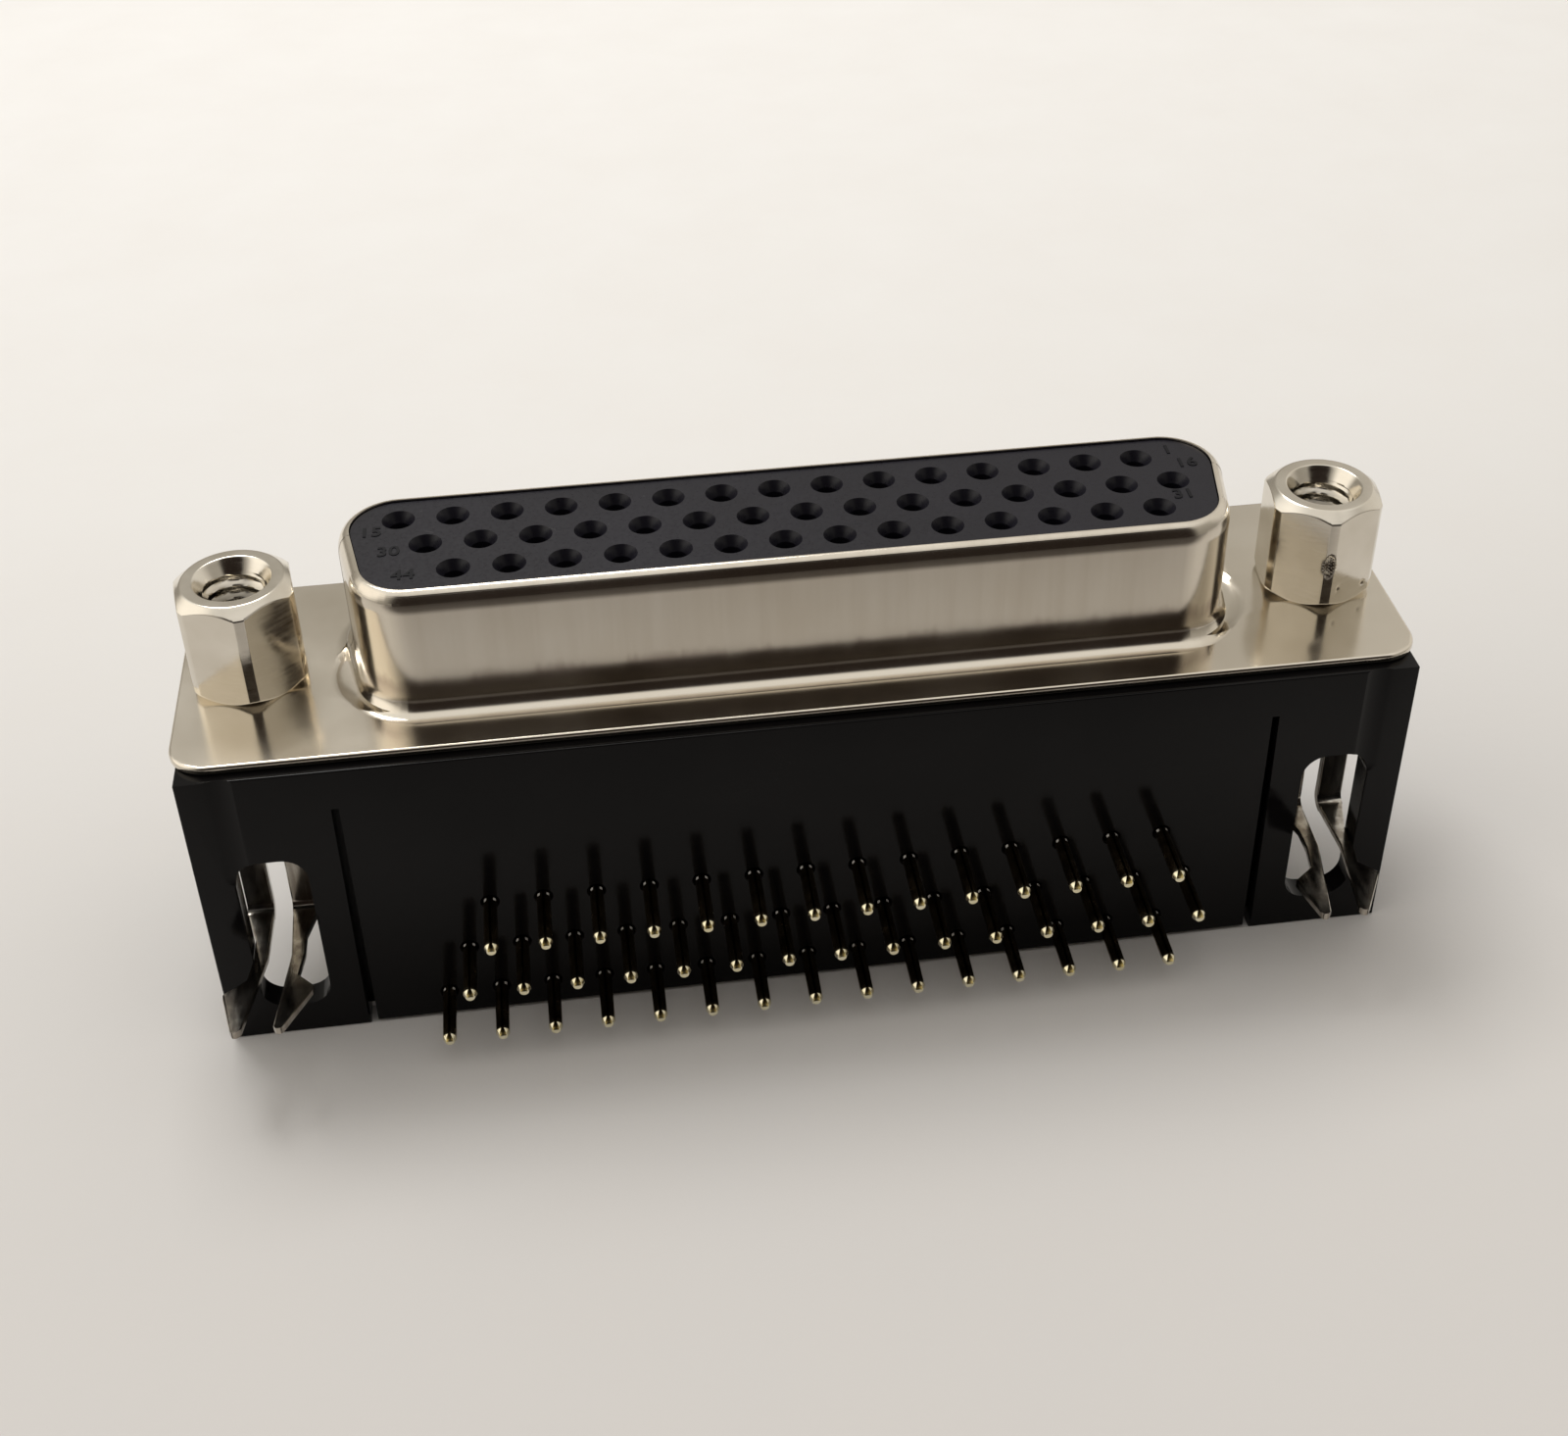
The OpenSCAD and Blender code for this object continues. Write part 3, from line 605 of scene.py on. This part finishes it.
def screwlock_rings(low, base, angles):
    """Rings of (radius, height above the flange): stud, hexagon, crown, countersink, thread."""
    rings = []

    def plain(r, height):
        rings.append([(r, height)] * len(angles))

    # stud below the flange
    plain(STUD_TIP_R, low)
    for i in range(STUD_ROWS):
        h = low + STUD_CHAMFER + i * STUD_THREAD / STUD_ROWS
        rings.append([(stud_radius(h, a), h) for a in angles])
    plain(THREAD_MAJOR, low + STUD_CHAMFER + STUD_THREAD)
    plain(THREAD_MAJOR, STUD_NECK)
    plain(THREAD_MAJOR, 0.0)
    # outside
    for step in OUTER_STEPS:
        h = step * MM
        rings.append([(outer_radius(h, a, base), h) for a in angles])
    # crown, rounded into the top and into the countersink
    for r, drop in CROWN_RINGS:
        plain(r * MM, LOCK_TOP - drop * MM)
    for share in SINK_SHARES:
        plain(SINK_R + (MOUTH_R - SINK_R) * share, LOCK_TOP - SINK_EDGE - (SINK_DEPTH - SINK_EDGE) * share)
    # threaded bore
    bore_top = LOCK_TOP - SINK_DEPTH
    bore_low = BORE_FLOOR + BORE_RUNOUT
    for i in range(BORE_ROWS + 1):
        h = bore_top - (bore_top - bore_low) * i / BORE_ROWS
        rings.append([(thread_radius(h, a, bore_top), h) for a in angles])
    plain(DRILL_R, BORE_FLOOR + DRILL_RISE)
    return rings


def marked(point):
    """How far the gouge and the nicks push a point of the right screwlock towards its axis."""
    push = dent(point, KNOCK, KNOCK_R, KNOCK_DEPTH, 1.0)
    for number, place in enumerate(NICKS):
        push += dent(point, place, NICK_R, NICK_DEPTH, 3.0 + number)
    return push


def screwlock(side, turn):
    """The whole screwlock in one closed mesh of rings, turned by that many degrees."""
    middle_x = SCREW_X if side == "right" else -SCREW_X
    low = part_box("screwlock_" + side)[0].z - FLANGE_Z
    # flats face the angles turn - 90 + 30 + 60 n, as in the solid
    base = turn - 60
    angles = [base + 60 * k + a for k in range(6) for a in flat_angles()]
    bm = bmesh.new()
    grid = []
    for ring in screwlock_rings(low, base, angles):
        row = []
        for (r, h), angle in zip(ring, angles):
            turn_to = math.radians(angle)
            point = Vector((middle_x + r * math.cos(turn_to), r * math.sin(turn_to), h))
            if side == "right" and r > MARKED_R and MARKED_LOW < h < MARKED_HIGH:
                r -= marked(point)
                point = Vector((middle_x + r * math.cos(turn_to), r * math.sin(turn_to), h))
            row.append(bm.verts.new((point.x, point.y, FLANGE_Z + point.z)))
        grid.append(row)
    count = len(angles)
    for a, b in zip(grid, grid[1:]):
        for i in range(count):
            j = (i + 1) % count
            bm.faces.new((a[i], a[j], b[j], b[i]))
    for row, height, order in ((grid[0], low, 1), (grid[-1], BORE_FLOOR, -1)):
        hub = bm.verts.new((middle_x, 0, FLANGE_Z + height))
        for i in range(count):
            j = (i + 1) % count
            bm.faces.new((row[j], row[i], hub) if order > 0 else (row[i], row[j], hub))
    name = "screwlock_turned_" + side
    mesh = bpy.data.meshes.new(name)
    bm.to_mesh(mesh)
    bm.free()
    finish = KNOCKED if side == "right" else TURNED
    crisp(add_piece(name, mesh, finish, "screwlock_" + side), 38)


screwlock("left", 9)
screwlock("right", -6)


# ---- marks on the face of the insulator ----

NUMBER_SIZE = 0.95 * MM
NUMBER_HALF = 0.018 * MM                  # half the thickness of a number
NUMBER_SWELL = 0.018 * MM                 # how much bolder than the font its strokes are
NUMBER_RISE = 0.012 * MM                  # middle of its thickness above the face
# each number with the place of its middle, in millimetres
NUMBERS = (("15", -17.75, 1.15), ("30", -16.98, -0.40), ("44", -16.35, -2.20),
           ("1", 17.0, 2.45), ("16", 17.55, 1.30), ("31", 16.75, -1.15))


def face_number(text, x, y):
    """A raised number on the insulator's face."""
    curve = bpy.data.curves.new("number", "FONT")
    curve.body = text
    curve.size = NUMBER_SIZE
    curve.align_x = "CENTER"
    curve.align_y = "CENTER"
    curve.extrude = NUMBER_HALF
    curve.offset = NUMBER_SWELL
    curve.resolution_u = 3
    curve.space_character = 1.05
    maker = bpy.data.objects.new("number", curve)
    root.objects.link(maker)
    bpy.context.view_layer.update()
    mesh = bpy.data.meshes.new_from_object(maker.evaluated_get(bpy.context.evaluated_depsgraph_get()))
    bpy.data.objects.remove(maker)
    bpy.data.curves.remove(curve)
    mesh.transform(Matrix.Translation((x, y, FACE_Z + NUMBER_RISE)))
    mesh.name = "face_number_" + text
    add_piece("face_number_" + text, mesh, DIGIT)


for text, x, y in NUMBERS:
    face_number(text, x * MM, y * MM)

# start, bend, end and half width of each scratch or speck, in millimetres
SCRATCHES = (((-15.52, 0.98), (-15.28, 0.86), (-15.02, 0.74), 0.022),
             ((-10.35, 0.40), (-10.15, 0.31), (-10.02, 0.18), 0.018),
             ((-9.93, 0.13), (-9.90, 0.05), (-9.91, -0.05), 0.010),
             ((-15.72, 2.52), (-15.64, 2.55), (-15.57, 2.54), 0.028),
             ((-6.24, 2.24), (-6.18, 2.27), (-6.12, 2.25), 0.032),
             ((-7.86, 0.28), (-7.80, 0.30), (-7.75, 0.29), 0.030),
             ((-11.66, -3.12), (-11.60, -3.09), (-11.52, -3.10), 0.025))
SCRATCH_ROWS = 8
SCRATCH_SINK = 0.004 * MM                 # how far a scratch's edges lie below the face


def face_scratches():
    """Thin curls scraped up on the face, and a few specks."""
    bm = bmesh.new()
    for start, bend, end, width in SCRATCHES:
        points = []
        for i in range(SCRATCH_ROWS + 1):
            t = i / SCRATCH_ROWS
            x = (1 - t) ** 2 * start[0] + 2 * t * (1 - t) * bend[0] + t ** 2 * end[0]
            y = (1 - t) ** 2 * start[1] + 2 * t * (1 - t) * bend[1] + t ** 2 * end[1]
            points.append((Vector((x, y)) * MM, width * MM * math.sin(math.pi * (0.08 + 0.84 * t))))
        across = (points[-1][0] - points[0][0]).normalized()
        across = Vector((-across.y, across.x))
        rows = []
        for at, w in points:
            rows.append([bm.verts.new((*(at - across * w), FACE_Z - SCRATCH_SINK)),
                         bm.verts.new((*at, FACE_Z + 0.5 * w)),
                         bm.verts.new((*(at + across * w), FACE_Z - SCRATCH_SINK))])
        for a, b in zip(rows, rows[1:]):
            for i in range(3):
                j = (i + 1) % 3
                bm.faces.new((a[i], a[j], b[j], b[i]))
        bm.faces.new(rows[0])
        bm.faces.new(list(reversed(rows[-1])))
    bmesh.ops.recalc_face_normals(bm, faces=bm.faces)
    mesh = bpy.data.meshes.new("face_scratches")
    bm.to_mesh(mesh)
    bm.free()
    add_piece("face_scratches", mesh, SCUFF)


face_scratches()


# ---- floor, light and camera ----

FLOOR_HALF = 1.5
SHADE = (0.030, 0.022, 0.018)             # the viewer's shade on the floor
FIGURE = (0.022, 0.016, 0.013)            # the viewer against the room


def floor():
    """A plain pale floor, with painted shade that makes it a little greyer towards the viewer."""
    s = Shader("floor_cloth")
    # painted shade: the floor darker towards the viewer
    depth = s.spread(s.axis("Y"), -40 * MM, 120 * MM)
    tone = s.ramp(depth, (0.0, (0.63, 0.61, 0.595)), (0.25, (0.66, 0.645, 0.63)), (0.5, (0.745, 0.735, 0.72)),
                  (1.0, (0.82, 0.81, 0.795)))
    mottled = s.mix(s.spread(s.noise(9 * MM, 4, 0.6), 0.3, 0.7, 0.0, 0.15), tone, (0.68, 0.64, 0.60))
    # metal sees the viewer's side of the table in shade
    ahead = s.math("MAXIMUM", s.math("MULTIPLY", s.axis("Y"), -1), MM)
    aside = s.math("DIVIDE", s.math("ABSOLUTE", s.axis("X")), ahead)
    shade = s.math("MULTIPLY", s.spread(aside, 0.75, 1.6, 0.95, 0.0),
                   s.spread(s.axis("Y"), -12 * MM, -58 * MM))
    path = s.add("ShaderNodeLightPath")
    shade = s.math("MULTIPLY", path.outputs["Is Glossy Ray"], shade)
    s.set(colour=s.mix(shade, mottled, SHADE), rough=0.9)
    s.bump(s.noise(1.2 * MM, 3, 0.6), 0.05 * MM, 0.3)
    mesh = bpy.data.meshes.new("floor")
    half = FLOOR_HALF
    corners = [(-half, -half, 0), (half, -half, 0), (half, half, 0), (-half, half, 0)]
    mesh.from_pydata(corners, [], [(0, 1, 2, 3)])
    mesh.materials.append(s.material)
    obj = bpy.data.objects.new("floor", mesh)
    root.objects.link(obj)


def world():
    """A plain room: bright ceiling and side windows, mid-grey walls, a dark figure behind the camera."""
    room = bpy.data.worlds.new("room")
    bpy.context.scene.world = room
    room.use_nodes = True
    tree = room.node_tree
    tree.nodes.clear()

    def add(kind, **values):
        node = tree.nodes.new(kind)
        for key, value in values.items():
            setattr(node, key, value)
        return node

    def toward(direction, start, full, source=None):
        """0 to 1 as the sky direction comes closer to that one."""
        dot = add("ShaderNodeVectorMath", operation="DOT_PRODUCT")
        tree.links.new(source or coord.outputs["Generated"], dot.inputs[0])
        dot.inputs[1].default_value = Vector(direction).normalized()
        spread = add("ShaderNodeMapRange", interpolation_type="SMOOTHSTEP")
        spread.inputs["From Min"].default_value = start
        spread.inputs["From Max"].default_value = full
        tree.links.new(dot.outputs["Value"], spread.inputs["Value"])
        return spread.outputs["Result"]

    def blend(share, a, b):
        """Socket a, going over into colour b as the share rises."""
        mix = add("ShaderNodeMix", data_type="RGBA")
        tree.links.new(share, mix.inputs["Factor"])
        tree.links.new(a, mix.inputs["A"])
        mix.inputs["B"].default_value = (*b, 1)
        return mix.outputs["Result"]

    coord = add("ShaderNodeTexCoord")
    split = add("ShaderNodeSeparateXYZ")
    tree.links.new(coord.outputs["Generated"], split.inputs["Vector"])
    lift = add("ShaderNodeMapRange")
    lift.inputs["From Min"].default_value = -1
    tree.links.new(split.outputs["Z"], lift.inputs["Value"])
    ramp = add("ShaderNodeValToRGB")
    tree.links.new(lift.outputs["Result"], ramp.inputs["Fac"])
    stops = [(0.0, (0.22, 0.205, 0.19)), (0.48, (0.31, 0.29, 0.255)), (0.62, (0.375, 0.35, 0.31)),
             (0.80, (0.47, 0.445, 0.40)), (0.93, (0.93, 0.90, 0.86))]
    while len(ramp.color_ramp.elements) < len(stops):
        ramp.color_ramp.elements.new(0.5)
    for element, (position, colour) in zip(ramp.color_ramp.elements, stops):
        element.position = position
        element.color = (*colour, 1)
    colour = ramp.outputs["Color"]
    # the figure: a column of the sky toward -Y, up to about 50 degrees
    level = add("ShaderNodeVectorMath", operation="MULTIPLY")
    tree.links.new(coord.outputs["Generated"], level.inputs[0])
    level.inputs[1].default_value = (1, 1, 0)
    flat = add("ShaderNodeVectorMath", operation="NORMALIZE")
    tree.links.new(level.outputs["Vector"], flat.inputs[0])
    column = toward((0, -1, 0), 0.72, 0.88, flat.outputs["Vector"])
    below = add("ShaderNodeMapRange", interpolation_type="SMOOTHSTEP")
    for socket, number in zip(("From Min", "From Max", "To Min", "To Max"), (0.90, 0.76, 0.0, 1.0)):
        below.inputs[socket].default_value = number
    tree.links.new(split.outputs["Z"], below.inputs["Value"])
    figure = add("ShaderNodeMath", operation="MULTIPLY")
    tree.links.new(column, figure.inputs[0])
    tree.links.new(below.outputs["Result"], figure.inputs[1])
    colour = blend(figure.outputs["Value"], colour, FIGURE)
    # windows: upper left, right behind and left
    colour = blend(toward((-0.55, 0.25, 0.80), 0.86, 0.96), colour, (0.95, 0.93, 0.89))
    colour = blend(toward((0.80, 0.42, 0.42), 0.72, 0.98), colour, (0.80, 0.76, 0.70))
    colour = blend(toward((-0.88, -0.02, 0.47), 0.76, 0.97), colour, (1.35, 1.28, 1.17))
    back = add("ShaderNodeBackground")
    out = add("ShaderNodeOutputWorld")
    tree.links.new(colour, back.inputs["Color"])
    tree.links.new(back.outputs["Background"], out.inputs["Surface"])


def lamp(name, place, aim, size, power, colour):
    """A rectangular lamp at a place, aimed at another."""
    data = bpy.data.lights.new(name, "AREA")
    data.shape = "RECTANGLE"
    data.size, data.size_y = size
    data.energy = power
    data.color = colour
    obj = bpy.data.objects.new(name, data)
    root.objects.link(obj)
    obj.location = place
    obj.rotation_euler = (Vector(aim) - Vector(place)).to_track_quat("-Z", "Y").to_euler()


CAMERA_AZIMUTH = math.radians(-7.958)
CAMERA_ELEVATION = math.radians(36.221)
CAMERA_ROLL = math.radians(0.486)
CAMERA_DISTANCE = 94.013 * MM             # from the lens to the plane through the flange's middle
CAMERA_ASIDE = Vector((-1.649, -0.205)) * MM   # where that middle lies in the view: right, down
IMAGE_PX = 1600                           # width of the image
SENSOR = 36                               # width of the sensor in millimetres
FOCAL_PX = 2176.7
AXIS_SHIFT = Vector((-50.0, -92.5)) / IMAGE_PX


def camera():
    """The photo's camera, as solved from the part's known sizes."""
    a, e, r = CAMERA_AZIMUTH, CAMERA_ELEVATION, CAMERA_ROLL
    back = Vector((math.sin(a) * math.cos(e), -math.cos(a) * math.cos(e), math.sin(e)))
    level = Vector((0, 0, 1)).cross(back).normalized()
    up = back.cross(level)
    right = math.cos(r) * level - math.sin(r) * up
    up = math.cos(r) * up + math.sin(r) * level
    middle = Vector((0, 0, FLANGE_Z))
    place = middle - CAMERA_ASIDE.x * right + CAMERA_ASIDE.y * up + CAMERA_DISTANCE * back
    data = bpy.data.cameras.new("camera")
    data.sensor_width = SENSOR
    data.lens = SENSOR * FOCAL_PX / IMAGE_PX
    data.shift_x, data.shift_y = AXIS_SHIFT
    data.clip_start = 0.002
    obj = bpy.data.objects.new("camera", data)
    root.objects.link(obj)
    obj.matrix_world = Matrix((
        (right.x, up.x, back.x, place.x),
        (right.y, up.y, back.y, place.y),
        (right.z, up.z, back.z, place.z),
        (0, 0, 0, 1)))
    bpy.context.scene.camera = obj


floor()
world()
lamp("key", (-0.06, 0.15, 0.31), (0, 0, 0.01), (0.16, 0.12), 0.53, (1, 0.99, 0.97))
camera()

bpy.context.scene.view_settings.view_transform = "Standard"
